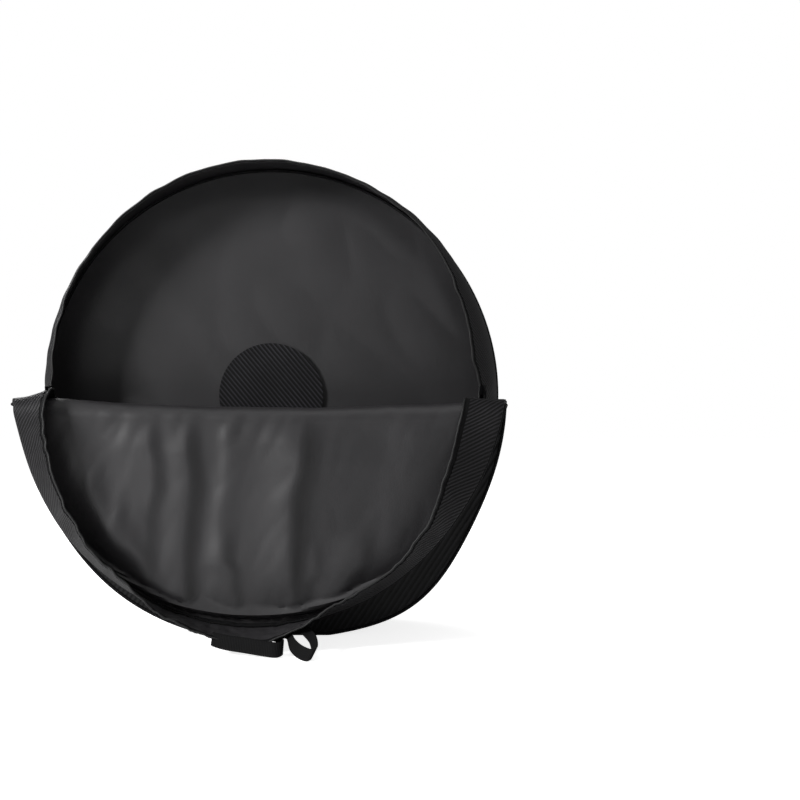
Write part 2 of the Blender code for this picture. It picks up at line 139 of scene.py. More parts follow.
def finish_material(tree, colour, roughness, height=None, depth=0.001, **more):
    """Joins colour, roughness and an optional relief, depth metres high, to the output."""
    shader = add(tree, "ShaderNodeBsdfPrincipled", {"Base Color": colour, "Roughness": roughness, **more})
    if height is not None:
        bump = add(tree, "ShaderNodeBump", {"Height": height, "Distance": depth, "Strength": 1.0})
        tree.links.new(bump.outputs[0], shader.inputs["Normal"])
    out = add(tree, "ShaderNodeOutputMaterial")
    tree.links.new(shader.outputs[0], out.inputs["Surface"])


def ribbed(name, pitch, angle, valley, ridge, depth):
    """Coated polyester with raised slanting ribs: dull, with painted shade in the valleys and a painted
    highlight along each rib.
    """
    material, tree = new_material(name)
    where = add(tree, "ShaderNodeUVMap", uv_map="UVMap")
    turned = add(tree, "ShaderNodeMapping", {"Vector": where.outputs[0], "Rotation": (0, 0, angle)})
    ribs = add(
        tree,
        "ShaderNodeTexWave",
        {"Vector": turned.outputs[0], "Scale": WAVE_BAND / pitch, "Distortion": 0.25, "Detail": 1.0},
        bands_direction="X",
    )
    place = add(tree, "ShaderNodeTexCoord")
    cloud = add(tree, "ShaderNodeTexNoise", {"Vector": place.outputs["Object"], "Scale": 22.0, "Detail": 4.0})
    weave = add(tree, "ShaderNodeTexNoise", {"Vector": where.outputs[0], "Scale": 900.0, "Detail": 1.0})
    # painted shade and highlight: the ramp colours each rib's valley dark and its ridge light
    shade = add(tree, "ShaderNodeValToRGB", {"Fac": ribs.outputs["Fac"]})
    shade.color_ramp.elements[0].color = linear(valley)
    shade.color_ramp.elements[0].position = 0.42
    shade.color_ramp.elements[1].color = linear(ridge)
    shade.color_ramp.elements[1].position = 0.98
    worn = add(
        tree,
        "ShaderNodeMapRange",
        {"Value": cloud.outputs["Fac"], "From Min": 0.3, "From Max": 0.7, "To Min": 0.75, "To Max": 1.25},
    )
    tint = add(tree, "ShaderNodeVectorMath", {0: shade.outputs[0]}, operation="SCALE")
    tree.links.new(worn.outputs[0], tint.inputs["Scale"])
    height = add(
        tree,
        "ShaderNodeMath",
        {0: weave.outputs["Fac"], 1: 0.25, 2: ribs.outputs["Fac"]},
        operation="MULTIPLY_ADD",
    )
    finish_material(tree, tint.outputs[0], 0.55, height.outputs[0], depth, **{"Specular IOR Level": 0.22})
    return material


def satin(name, colour, gloss):
    """Coated satin: a fine flat weave that catches soft light along its folds."""
    material, tree = new_material(name)
    where = add(tree, "ShaderNodeUVMap", uv_map="UVMap")
    place = add(tree, "ShaderNodeTexCoord")
    weave = add(tree, "ShaderNodeTexNoise", {"Vector": where.outputs[0], "Scale": 700.0, "Detail": 2.0})
    cloud = add(tree, "ShaderNodeTexNoise", {"Vector": place.outputs["Object"], "Scale": 9.0, "Detail": 5.0})
    worn = add(
        tree,
        "ShaderNodeMapRange",
        {"Value": cloud.outputs["Fac"], "From Min": 0.3, "From Max": 0.7, "To Min": 0.85, "To Max": 1.15},
    )
    base = add(tree, "ShaderNodeRGB")
    base.outputs[0].default_value = linear(colour)
    tint = add(tree, "ShaderNodeVectorMath", {0: base.outputs[0]}, operation="SCALE")
    tree.links.new(worn.outputs[0], tint.inputs["Scale"])
    finish_material(
        tree, tint.outputs[0], gloss, weave.outputs["Fac"], 0.00015, **{"Specular IOR Level": 0.6}
    )
    return material


def woven(name, colour, pitch):
    """Narrow woven polyester tape: fine cross ribs that break up the light, with painted shade in their
    grooves and a painted highlight on their tops.
    """
    material, tree = new_material(name)
    where = add(tree, "ShaderNodeUVMap", uv_map="UVMap")
    ribs = add(
        tree,
        "ShaderNodeTexWave",
        {"Vector": where.outputs[0], "Scale": WAVE_BAND / pitch},
        bands_direction="X",
    )
    base = add(tree, "ShaderNodeRGB")
    base.outputs[0].default_value = linear(colour)
    # painted shade and highlight: the ribs scale the tape's colour from dark in the grooves to light on the
    # tops
    shade = add(tree, "ShaderNodeMapRange", {"Value": ribs.outputs["Fac"], "To Min": 0.6, "To Max": 1.2})
    tint = add(tree, "ShaderNodeVectorMath", {0: base.outputs[0]}, operation="SCALE")
    tree.links.new(shade.outputs[0], tint.inputs["Scale"])
    finish_material(tree, tint.outputs[0], 0.75, ribs.outputs["Fac"], 0.0003, **{"Specular IOR Level": 0.15})
    return material


def plain(name, colour, roughness, metallic=0.0):
    """One even finish: matt foam, dull nylon, or zinc with a small hard highlight."""
    material, tree = new_material(name)
    base = add(tree, "ShaderNodeRGB")
    base.outputs[0].default_value = linear(colour)
    finish_material(tree, base.outputs[0], roughness, Metallic=metallic)
    return material


# the ribs are a little under 8 mm apart on the walls and closer on the narrow strips; the two colours are
# each rib's painted shade in its valley and painted highlight on its ridge
WALL_CLOTH = ribbed("ribbed_polyester_wall", 0.0076, math.radians(33), "#060606", "#18181a", 0.0005)
STRIP_CLOTH = ribbed("ribbed_polyester_strip", 0.0052, math.radians(45), "#020202", "#262528", 0.0010)
PATCH_CLOTH = ribbed("ribbed_polyester_patch", 0.0060, math.radians(-40), "#050506", "#2a292d", 0.0008)
SATIN = satin("coated_satin", "#222123", 0.5)
FOAM_GREY = plain("polyethylene_foam", "#6c6d70", 0.9)
# each woven colour is darkened in its rib grooves and lightened on its rib tops: painted shade and highlight
BINDING = woven("binding_tape", "#131314", 0.0016)
WEBBING = woven("nylon_webbing", "#070708", 0.0024)
PIPING = woven("covered_piping", "#141415", 0.0030)
TAPE = woven("zip_tape", "#0f0f10", 0.0014)
COIL = plain("zip_coil_nylon", "#080809", 0.6)
ZINC = plain("black_zinc", "#202022", 0.35, 0.9)


# ---------------------------------------------------------------- meshes
def close_mesh(bm, name, material, thickness):
    """Turns a finished bmesh into a smooth piece, thickened where it is cloth."""
    bmesh.ops.recalc_face_normals(bm, faces=bm.faces)
    mesh = bpy.data.meshes.new(name)
    for face in bm.faces:
        face.smooth = True
    bm.to_mesh(mesh)
    bm.free()
    piece = bpy.data.objects.new(name, mesh)
    bpy.context.scene.collection.objects.link(piece)
    mesh.materials.append(material)
    if thickness:
        wall = piece.modifiers.new("cloth", "SOLIDIFY")
        wall.thickness = thickness
        wall.offset = 0.0
    return piece


def laid(name, columns, rows, place, material, thickness=0.0, weld=False, caps=False):
    """A flat grid laid where place(u, v) says; it gives a point and the cloth's own two lengths."""
    bm = bmesh.new()
    bmesh.ops.create_grid(bm, x_segments=columns, y_segments=rows, size=0.5)
    uv = bm.loops.layers.uv.new("UVMap")
    spots = {}
    for vert in bm.verts:
        point, cut = place(min(1, max(0, vert.co.x + 0.5)), min(1, max(0, vert.co.y + 0.5)))
        spots[vert] = cut
        vert.co = point
    for face in bm.faces:
        for loop in face.loops:
            loop[uv].uv = spots[loop.vert]
    if weld:
        bmesh.ops.remove_doubles(bm, verts=bm.verts, dist=0.00002)
    if caps:
        bmesh.ops.holes_fill(bm, edges=[e for e in bm.edges if e.is_boundary])
    return close_mesh(bm, name, material, thickness)


def tube(name, count, path, radius, material, sides=10, ridge=0.0, closed=False, up=Vector((0, 1, 0))):
    """A round cord laid along path(u), or a ridged one, such as a zip's coil."""
    turn = 2 * math.pi

    def place(u, v):
        before, after = (u - 0.001, u + 0.001) if closed else (max(0, u - 0.001), min(1, u + 0.001))
        along = (path(after) - path(before)).normalized()
        out = along.cross(up).normalized()
        top = out.cross(along)
        ring = radius * (1 - ridge * (round(u * count) % 2))
        point = path(u) + out * ring * math.cos(turn * v) + top * ring * math.sin(turn * v)
        return point, (u * count * 0.003, v * radius * 6)

    return laid(name, count, sides, place, material, weld=True, caps=not closed)


def ribbon(name, points, width, thickness, material, across):
    """Webbing that bends along a smooth line through the points; across(u) is the way that its width lies."""
    lengths = [0.0]
    for a, b in zip(points, points[1:]):
        lengths.append(lengths[-1] + (Vector(b) - Vector(a)).length)
    total = lengths[-1]

    def path(u):
        s = u * total
        i = max(0, min(len(points) - 2, sum(1 for d in lengths[1:-1] if d <= s)))
        t = (s - lengths[i]) / (lengths[i + 1] - lengths[i])
        p = [Vector(points[max(0, min(len(points) - 1, j))]) for j in (i - 1, i, i + 1, i + 2)]
        return 0.5 * (
            2 * p[1]
            + (p[2] - p[0]) * t
            + (2 * p[0] - 5 * p[1] + 4 * p[2] - p[3]) * t * t
            + (3 * p[1] - p[0] - 3 * p[2] + p[3]) * t**3
        )

    def place(u, v):
        side = Vector(across(u)).normalized()
        return path(u) + side * (v - 0.5) * width, (u * total, v * width)

    piece = laid(name, 60, 8, place, material, thickness)
    rounded = piece.modifiers.new("edge", "BEVEL")
    rounded.width, rounded.segments, rounded.limit_method = thickness * 0.35, 2, "ANGLE"
    return piece


# ---------------------------------------------------------------- the bag's shape
def from_rim(x, height):
    """0 on the walls' round and 1 at its middle."""
    return 1 - (x * x + (height - MIDDLE) ** 2) / PANEL**2


def fullness(angle):
    """How far the padded rim stands out past its round, at that angle in degrees from the right side."""
    low_right = 0.022 * math.exp(-(((angle + 54) / 17.5) ** 2))
    low_left = -0.0085 * math.exp(-(((angle + 150) / 20) ** 2))
    return low_right + low_left


def filled(x, height):
    """The place in a wall, pushed out by the rim's fullness."""
    away = math.hypot(x, height - MIDDLE)
    if away < 1e-6:
        return x, height
    angle = math.degrees(math.atan2(height - MIDDLE, x))
    if angle > 90:
        angle -= 360
    scale = 1 + fullness(angle) * (away / RADIUS) ** 3 / RADIUS
    return x * scale, MIDDLE + (height - MIDDLE) * scale


def segment(u, v, line, up, radius):
    """x and shut height in the part of the round above or below a level line."""
    u = 2 * u - 1
    wide, high = u * math.sqrt(1 - v * v / 2), v * math.sqrt(1 - u * u / 2)
    level = (line - MIDDLE) / radius
    height = level + (1 - level) * high if up else level - (1 + level) * high
    chord = math.sqrt(max(1e-12, 1 - high * high))
    x = wide / chord * math.sqrt(max(0, 1 - height * height))
    if 1 - high * high < 1e-9:
        x = 0
    return x * radius, MIDDLE + height * radius


def wall_path(height, depth):
    """Where the front wall lies, by its shut height: up the front, over the fold and down the flap.

    Gives y, z and the way up along the wall.
    """
    low, high = FOLD_LOW - ROLL, FOLD_HIGH + ROLL
    if height <= low:
        return FRONT_Y + depth, height, 90.0
    if height >= high:
        return FLAP_Y - depth, FOLD_LOW + FOLD_HIGH - height, 270.0
    level = FRONT_Y - FLAP_Y - 2 * ROLL
    s = (height - low) / (high - low) * (math.pi * ROLL + level)
    quarter = math.pi * ROLL / 2
    if s < quarter:
        angle = s / ROLL
        return (
            FRONT_Y - ROLL + (ROLL + depth) * math.cos(angle),
            low + (ROLL + depth) * math.sin(angle),
            90 + math.degrees(angle),
        )
    if s < quarter + level:
        return FRONT_Y - ROLL - (s - quarter), FOLD_LOW + depth, 180.0
    angle = (s - quarter - level) / ROLL
    return (
        FLAP_Y + ROLL - (ROLL + depth) * math.sin(angle),
        low + (ROLL + depth) * math.cos(angle),
        180 + math.degrees(angle),
    )


def fold_drop(x, height):
    """How far the fold's soft top edge sags between its ends, with a few small waves.

    The flap's far end hangs a little lower too.
    """
    near = smooth(1 - abs(height - FOLD_TOP) / 0.085)
    sag = 0.006 + 0.015 * max(0.0, 1 - ((x - 0.04) / 0.35) ** 2)
    wave = 0.0022 * ripple(x, 0, 4.1, 0.13) + 0.0010 * ripple(x, 0, 7.7, 0.045)
    return near * (sag - wave) + 0.013 * smooth((height - 0.56) / 0.18)


def pulled(x, height):
    """The flap's left side is drawn in a little where it leaves the fold."""
    top = smooth((height - 0.372) / 0.05) * smooth((0.65 - height) / 0.19)
    return x + 0.013 * top * smooth((-x - 0.12) / 0.20) - 0.003 * top * smooth((x - 0.2) / 0.15)


def front_point(x, height, depth):
    """A point of the front wall, depth metres in from its outer face."""
    y, z, _ = wall_path(height, depth)
    return Vector((pulled(x, height), y, z - fold_drop(x, height)))


def wall_out(height):
    """The way out of the front wall on its lining's side."""
    way = math.radians(wall_path(height, 0)[2])
    return Vector((0, math.sin(way), -math.cos(way)))


# the folds that the flap's lining hangs in: top x and height, bottom x and height,
# how wide it is to the left and the right, and how high
FOLDS = (
    (-0.285, 0.490, -0.215, 0.610, 0.024, 0.034, 0.0050),
    (-0.160, 0.492, -0.152, 0.600, 0.062, 0.015, 0.0085),
    (-0.098, 0.500, -0.102, 0.700, 0.040, 0.013, 0.0105),
    (0.064, 0.490, 0.046, 0.660, 0.080, 0.016, 0.0135),
    (0.072, 0.520, 0.052, 0.640, 0.030, 0.150, 0.0070),
    (-0.036, 0.478, -0.052, 0.640, 0.014, 0.026, 0.0034),
    (0.152, 0.640, 0.118, 0.705, 0.040, 0.020, 0.0070),
    (0.240, 0.480, 0.200, 0.600, 0.034, 0.034, 0.0045),
    (-0.240, 0.560, -0.170, 0.655, 0.018, 0.013, 0.0034),
    (-0.200, 0.600, -0.128, 0.700, 0.016, 0.013, 0.0036),
    (-0.040, 0.650, -0.030, 0.705, 0.030, 0.011, 0.0045),
    (0.085, 0.655, 0.062, 0.712, 0.016, 0.010, 0.0030),
)


def lining_rise(x, height):
    """How far the flap's lining stands off its foam: soft folds that run down it, flat at the rim."""
    rim = smooth(from_rim(x, height) / 0.16)
    broad = 0.5 + 0.5 * ripple(x, height * 0.4, 5.5, 0.2)
    fine = abs(ripple(x * 1.3 + height * 0.4, height * 0.6, 3.9, 0.04))
    rise = 0.0025 * broad + 0.0012 * fine
    for x0, h0, x1, h1, left, right, high in FOLDS:
        t = ((height - h0) * (h1 - h0) + (x - x0) * (x1 - x0)) / ((h1 - h0) ** 2 + (x1 - x0) ** 2)
        held = min(1.0, max(0.0, t))
        bow = 0.012 * ripple(held * 0.2, x0, 3.0, 0.1)
        aside = x - mix(x0, x1, held) - bow
        beyond = height - mix(h0, h1, held)
        beyond /= 0.055 if beyond > 0 else 0.034
        off = aside / (left if aside < 0 else right)
        rise += high * math.exp(-off * off - beyond * beyond)
    return rim * rise


def flap_layer(name, depth, material, thickness, rise=False, columns=150, rows=90):
    """One layer of the flap; rise adds the folds that its lining hangs in."""

    def place(u, v):
        x, height = segment(u, v, FOLD_TOP, True, PANEL)
        point = front_point(x, height, depth)
        if rise:
            point += wall_out(height) * lining_rise(x, height)
        return point, (x, height)

    return laid(name, columns, rows, place, material, thickness)


def lower_layer(name, depth, material, thickness, swell=0.0, columns=130, rows=80):
    """One layer of the front's lower half; swell is how far it fills out."""

    def place(u, v):
        x, height = segment(u, v, FOLD_TOP, False, PANEL)
        x, height = filled(x, height)
        edge = smooth(from_rim(x, height) / 0.3) if height < FOLD_LOW else 0.0
        point = front_point(x, max(height, PADDING_LOW), depth)
        below = smooth((FOLD_LOW - 0.03 - height) / 0.1)
        point.y += swell * edge * below * (0.6 + ripple(x, height, 8.8, 0.17))
        return point, (x, height)

    return laid(name, columns, rows, place, material, thickness)


def back_layer(name, depth, material, thickness, swell, columns=120):
    """One layer of the back wall; swell(x, height) is how far it fills out."""

    def place(u, v):
        u, v = 2 * u - 1, 2 * v - 1
        x = PANEL * u * math.sqrt(1 - v * v / 2)
        height = MIDDLE + PANEL * v * math.sqrt(1 - u * u / 2)
        x, height = filled(x, height)
        y = BACK_Y - depth + swell(x, height) * smooth(max(0.0, from_rim(x, height)) / 0.25)
        return Vector((x, y, max(height, PADDING_LOW))), (x, height)

    return laid(name, columns, columns, place, material, thickness)


def round_path(y, start, end, radius, lowest):
    """A path round the bag at that depth, from one angle to another, in degrees from the right side."""

    def path(u):
        angle = mix(start, end, u)
        a = math.radians(angle)
        folded = angle if angle <= 90 else angle - 360
        r = radius + fullness(folded)
        z = MIDDLE + r * math.sin(a)
        return Vector((r * math.cos(a), y, max(z, lowest)))

    return path


# the flap's strip: how far it leans in over the lining, in degrees, by the angle round the bag
RIGHT_LEAN = [(-6, 0), (-4.2, 30), (-2, 78), (0, 89), (9, 89), (17, 80), (31, 54), (43, 31)]
RIGHT_LEAN += [(55, 22), (70, 19), (80, -1), (87, -13.6), (90, -14)]
LEFT_LEAN = [(-6, 0), (-4.2, 30), (-2, 74), (0, 86), (5, 84), (9, 68), (13, 56), (18, 50)]
LEFT_LEAN += [(31, 41), (41, 34), (51, 24), (58, 22), (72, 1), (86, -13.5), (90, -14)]


def strip_bend(across):
    """How much of its lean the strip has at that distance from its seam.

    It stands up past the padded edge first.
    """
    return smooth((across - 0.0045) / 0.006) * mix(1.14, 0.97, across / STRIP_WIDTH)


def strip_point(angle, across, depth, right):
    """A point of the flap's strip: across metres from its seam, depth metres in from its outer face."""
    a = math.radians(angle)
    sign = 1 if right else -1
    height = MIDDLE + RADIUS * math.sin(a)
    way = math.radians(wall_path(height, 0)[2])
    up = Vector((0, math.cos(way), math.sin(way)))
    stand = Vector((0, math.sin(way), -math.cos(way)))
    inward = Vector((-math.cos(a) * sign, 0, 0)) - up * math.sin(a)
    lean = math.radians(table(RIGHT_LEAN if right else LEFT_LEAN, angle))
    pucker = ripple(angle * PER_DEGREE * 3, across * 0.6, 21.0 if right else 33.0, 0.05)
    pucker *= smooth((88 - angle) / 12)
    run = (90 - angle) * sign * PER_DEGREE
    loose = smooth(across / STRIP_WIDTH)
    # the strip is followed from its seam in short steps, each with its own lean
    point = front_point(RADIUS * math.cos(a) * sign, height, 0.0015)
    gone, step = 0.0, 0.002
    while gone < across - 1e-9:
        part = min(step, across - gone)
        local = min(math.pi / 2, lean * strip_bend(gone + part / 2))
        point += (stand * math.cos(local) + inward * math.sin(local)) * part
        gone += part
    local = min(math.pi / 2, lean * strip_bend(across))
    normal = inward * math.cos(local) - stand * math.sin(local)
    crinkle = 0.0017 * ripple(run, across, 61.0, 0.014) + 0.0009 * ripple(run, across, 65.0, 0.006)
    crinkle *= smooth((angle - 56) / 14) * smooth(across / 0.012) * smooth((90 - angle) / 2.2)
    point += normal * (depth + 0.0030 * pucker * loose + crinkle)
    return point


def cut_length(start, end, right):
    """How long the strip's cloth is cut between two angles, as the mean of its sewn and its free edge."""
    edges = (
        [strip_point(mix(start, end, i / 40), across, 0, right) for i in range(41)]
        for across in (0.0, STRIP_WIDTH)
    )
    return sum((b - a).length for edge in edges for a, b in zip(edge, edge[1:])) / 2


def strip_layer(name, start, end, right, depth, material, thickness, first=0.0, last=STRIP_WIDTH, rows=16):
    """One layer of the flap's strip between two angles, from first to last metres from its seam."""
    columns = max(6, int((end - start) * 2.2))

    def place(u, v):
        angle = mix(start, end, u)
        across = mix(first, last, v)
        cut = (math.radians(angle) * RADIUS, across * (1 if right else -1))
        return strip_point(angle, across, depth, right), cut

    return laid(name, columns, rows, place, material, thickness)


def strip_coil(name, start, end, right):
    """The flap's half of the zip's coil between two angles."""
    count = max(8, int(math.radians(end - start) * RADIUS / 0.0011))

    def path(u):
        return strip_point(mix(start, end, u), STRIP_WIDTH + TAPE_WIDTH - 0.001, 0.0012, right)

    return tube(name, count, path, COIL_RADIUS, COIL, sides=6, ridge=0.3)


def mouth_path(u, y):
    """Along the free edge of the body's strip, from the right side over the top to the left."""
    rise = MOUTH_MIDDLE - FOLD_LOW
    total = 2 * rise + math.pi * MOUTH
    s = u * total
    if s < rise:
        return Vector((MOUTH, y, FOLD_LOW + s))
    if s > total - rise:
        return Vector((-MOUTH, y, FOLD_LOW + total - s))
    a = (s - rise) / MOUTH
    return Vector((MOUTH * math.cos(a), y, MOUTH_MIDDLE + MOUTH * math.sin(a)))


def gusset_point(u, t, depth):
    """The body's upper strip: u along it from right to left, t from the back seam to its free edge."""
    a = math.radians(mix(-SEAM_END, 180 + SEAM_END, u))
    back = Vector((RADIUS * math.cos(a), BACK_SEAM_Y, MIDDLE + RADIUS * math.sin(a)))
    front = mouth_path(u, MOUTH_Y)
    outward = Vector((math.cos(a), 0, math.sin(a)))
    if front.x > 0:
        front.x -= 0.009 * smooth((front.z - 0.378) / 0.05) * smooth((0.66 - front.z) / 0.14)
    point = back.lerp(front, t)
    side = abs(math.cos(a))
    swell = 0.006 * math.sin(math.pi * min(1, t)) if t <= 1 else 0
    crease = 0.0030 * ripple(u * 3.6, t * 0.05, 41.0, 0.09) * min(1, t) * (0.4 + side)
    return point + outward * (swell + crease - depth)


def gusset_layer(name, start, end, first, last, depth, material, thickness, columns=130, rows=18):
    """One layer of the body's upper strip, or the zip tape along it."""

    def place(u, v):
        along = mix(start, end, u)
        t = mix(first, last, v)
        return gusset_point(along, t, depth), (along * 1.19, t * 0.09)

    return laid(name, columns, rows, place, material, thickness)


def cuts(piece):
    """Each point's own two lengths in the cloth."""
    found = [(0.0, 0.0)] * len(piece.data.vertices)
    layer = piece.data.uv_layers[0].data
    for loop in piece.data.loops:
        found[loop.vertex_index] = tuple(layer[loop.index].uv)
    return found


def sewn(x, height):
    """How firmly the flap's lining is held there: along its seam and all over the fold."""
    return smooth(1.25 - from_rim(x, height) / 0.05) if height > FOLD_HIGH else 1.0


def settle(piece, out_of, held, grow, reach, steps=26):
    """Lets a sewn-in lining settle as cloth that is cut a little large.

    It stays on its own side of the foam, and moves at most reach metres out.
    """
    scene = bpy.context.scene
    rest = [v.co.copy() for v in piece.data.vertices]
    group = piece.vertex_groups.new(name="sewn")
    for index in range(len(rest)):
        group.add([index], held(index), "REPLACE")
    others = list(piece.modifiers)
    for modifier in others:
        modifier.show_viewport = False
    cloth = piece.modifiers.new("cloth", "CLOTH")
    cloth.settings.quality = 6
    cloth.settings.mass = 0.12
    cloth.settings.tension_stiffness = cloth.settings.compression_stiffness = 12
    cloth.settings.shear_stiffness = 6
    cloth.settings.bending_stiffness = 0.6
    cloth.settings.air_damping = 2.0
    cloth.settings.shrink_min = -grow
    cloth.settings.vertex_group_mass = "sewn"
    cloth.settings.use_pressure = True
    cloth.settings.uniform_pressure_force = 0.25
    cloth.point_cache.frame_start, cloth.point_cache.frame_end = 1, steps
    for frame_number in range(1, steps + 1):
        scene.frame_set(frame_number)
    now = piece.evaluated_get(bpy.context.evaluated_depsgraph_get()).data
    moved = [v.co.copy() for v in now.vertices]
    piece.modifiers.remove(cloth)
    for modifier in others:
        modifier.show_viewport = True
    scene.frame_set(1)
    slip, sink = 0.004, 0.0004  # how far a point may move along the wall, and into the foam
    for index, vert in enumerate(piece.data.vertices):
        out = out_of(index)
        step = moved[index] - rest[index]
        along = step.dot(out)
        flat = step - out * along
        if flat.length > slip:
            flat *= slip / flat.length
        vert.co = rest[index] + flat + out * max(-sink, min(reach, along))


# ---------------------------------------------------------------- frame
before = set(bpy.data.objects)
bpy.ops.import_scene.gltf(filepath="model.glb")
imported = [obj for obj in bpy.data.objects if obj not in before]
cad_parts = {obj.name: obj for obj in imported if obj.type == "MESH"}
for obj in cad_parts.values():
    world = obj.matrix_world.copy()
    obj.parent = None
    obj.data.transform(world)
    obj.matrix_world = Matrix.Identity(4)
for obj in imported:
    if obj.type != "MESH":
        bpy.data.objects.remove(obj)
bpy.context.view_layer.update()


def made(piece, slot, body, *nodes, between=None):
    """Bakes a finished piece's modifiers into it and hides the nodes that it stands for.

    Without between it is parented to its body; with between it stays unparented, its place baked into its
    mesh, and what between names is not used.
    """
    if piece.modifiers:
        thin = piece.data
        dg = bpy.context.evaluated_depsgraph_get()
        piece.data = bpy.data.meshes.new_from_object(
            piece.evaluated_get(dg), preserve_all_data_layers=True, depsgraph=dg
        )
        piece.modifiers.clear()
        bpy.data.meshes.remove(thin)
        piece.data.name = piece.name
        piece.data.set_sharp_from_angle(angle=math.radians(50))
    if between:
        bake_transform(piece)
    else:
        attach(piece, body)
    if nodes:
        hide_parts(*nodes)
    return piece


# the wall bends over two soft edges, one at each side of the fold's top
LOWER_BEND = ("fold", (0, FRONT_Y, 0.325), (0, FRONT_Y - 0.0175, 0.3425))
FLAP_BEND = ("flap", (0, FLAP_Y + 0.0175, 0.3425), (0, FLAP_Y, 0.325))

# a wall has three layers and a strip has two. Each is given by its word in the names of the nodes,
# its own name, how deep it lies, its material, its slot and its thickness.
WALL_LAYERS = (
    ("outer", "outer_cloth", OUTER, WALL_CLOTH, "ribbed_cloth", CLOTH_THICK),
    ("foam", "foam_sheet", FOAM, FOAM_GREY, "grey_foam", FOAM_THICK),
    ("lining", "satin", LINING, SATIN, "satin_lining", SATIN_THICK),
)
STRIP_LAYERS = (
    ("outer", "cloth", STRIP_CLOTH_DEPTH, STRIP_CLOTH, "ribbed_cloth", CLOTH_THICK),
    ("lining", "satin", STRIP_SATIN_DEPTH, SATIN, "satin_lining", SATIN_THICK),
)

# back wall: how far each layer fills out
BACK_SWELL = {
    "outer": lambda x, h: 0.0016 + 0.0012 * ripple(x, h, 1.5, 0.2),
    "foam": lambda x, h: 0.0,
    "lining": lambda x, h: -0.0005
    - 0.0045 * abs(ripple(x + 0.5 * h, h * 0.7, 6.1, 0.11))
    - 0.003 * (0.5 + 0.5 * ripple(x, h, 9.3, 0.22)),
}
for kind, name, depth, material, slot, thickness in WALL_LAYERS:
    piece = back_layer(f"back_{name}", depth, material, thickness, BACK_SWELL[kind])
    made(piece, slot, "bag_body", f"back_panel_{kind}")

seam = round_path(0.0792, 0, 360, PIPING_ROUND, PIPING_LOW)
piece = tube("back_edge_piping", 420, seam, PIPING_RADIUS, PIPING, closed=True)
made(piece, "woven_trim", "bag_body", "back_piping")


def back_binding(u, v):
    """A point of the tape over the back's raw seam, all round inside."""
    a = 2 * math.pi * u
    r = 0.3710
    z = max(MIDDLE + r * math.sin(a), BINDING_LOW)
    return Vector((r * math.cos(a), mix(0.0612, 0.0712, v), z)), (u * 2.34, v * 0.011)


piece = laid("back_inner_binding", 300, 4, back_binding, BINDING, BINDING_THICK, weld=True)
made(piece, "woven_trim", "bag_body", "back_seam_binding")


def patch_place(u, v):
    """A point of the round patch, laid on the back lining."""
    u, v = 2 * u - 1, 2 * v - 1
    x = PATCH_RADIUS * u * math.sqrt(1 - v * v / 2)
    h = PATCH_RADIUS * v * math.sqrt(1 - u * u / 2)
    return Vector((x, 0.0672 - 0.0006 * ripple(x, h, 5.0, 0.06), MIDDLE + h)), (x, h)


patch = laid("hub_patch_cloth", 60, 60, patch_place, PATCH_CLOTH, 0.0030)
made(patch, "ribbed_cloth", "bag_body", "hub_patch")

# front wall
for kind, name, depth, material, slot, thickness in WALL_LAYERS:
    swell = -0.006 if kind == "outer" else 0.0
    piece = lower_layer(f"lower_front_{name}", depth, material, thickness, swell)
    made(piece, slot, "bag_body", f"lower_front_{kind}", f"fold_{kind}", between=LOWER_BEND)
    piece = flap_layer(f"flap_front_{name}", depth, material, thickness, kind == "lining")
    if kind == "lining":
        shut = cuts(piece)
        settle(piece, lambda i: wall_out(shut[i][1]), lambda i: sewn(*shut[i]), grow=0.022, reach=0.010)
    made(piece, slot, "fold", f"flap_{kind}", between=FLAP_BEND)

seam = round_path(FRONT_Y + 0.0008, -SEAM_END, SEAM_END - 180, PIPING_ROUND, PIPING_LOW)
piece = tube("lower_front_edge_piping", 240, seam, PIPING_RADIUS, PIPING)
made(piece, "woven_trim", "bag_body", "lower_front_piping")


def lower_binding(u, v):
    """A point of the tape over the lower front's raw seam."""
    a = math.radians(mix(-2.5, -177.5, u))
    r = 0.3705
    z = max(MIDDLE + r * math.sin(a), BINDING_LOW)
    return Vector((r * math.cos(a), mix(-0.0715, -0.0612, v), z)), (u * 1.17, v * 0.011)


piece = laid("lower_inner_binding", 160, 4, lower_binding, BINDING, BINDING_THICK)
made(piece, "woven_trim", "bag_body", "lower_seam_binding")

# the fold's piping and the flap's meet at this angle
PIPING_MEETS = 3.6
for side, sign in (("right", 1), ("left", -1)):

    def over_fold(u):
        a = math.radians(mix(-SEAM_END, PIPING_MEETS, u))
        return front_point(sign * FOLD_PIPING_ROUND * math.cos(a), MIDDLE + RADIUS * math.sin(a), 0.0)

    def down_flap(u):
        a = math.radians(mix(PIPING_MEETS, 90, u))
        return front_point(sign * PIPING_ROUND * math.cos(a), MIDDLE + PIPING_ROUND * math.sin(a), 0.0008)

    piece = tube(f"fold_edge_piping_{side}", 24, over_fold, PIPING_RADIUS, PIPING, up=Vector((1, 0, 0)))
    made(piece, "woven_trim", "bag_body", f"fold_piping_{side}", between=LOWER_BEND)
    piece = tube(f"flap_edge_piping_{side}", 150, down_flap, PIPING_RADIUS, PIPING, up=Vector((1, 0.3, 0)))
    made(piece, "woven_trim", "fold", "flap_piping", between=FLAP_BEND)


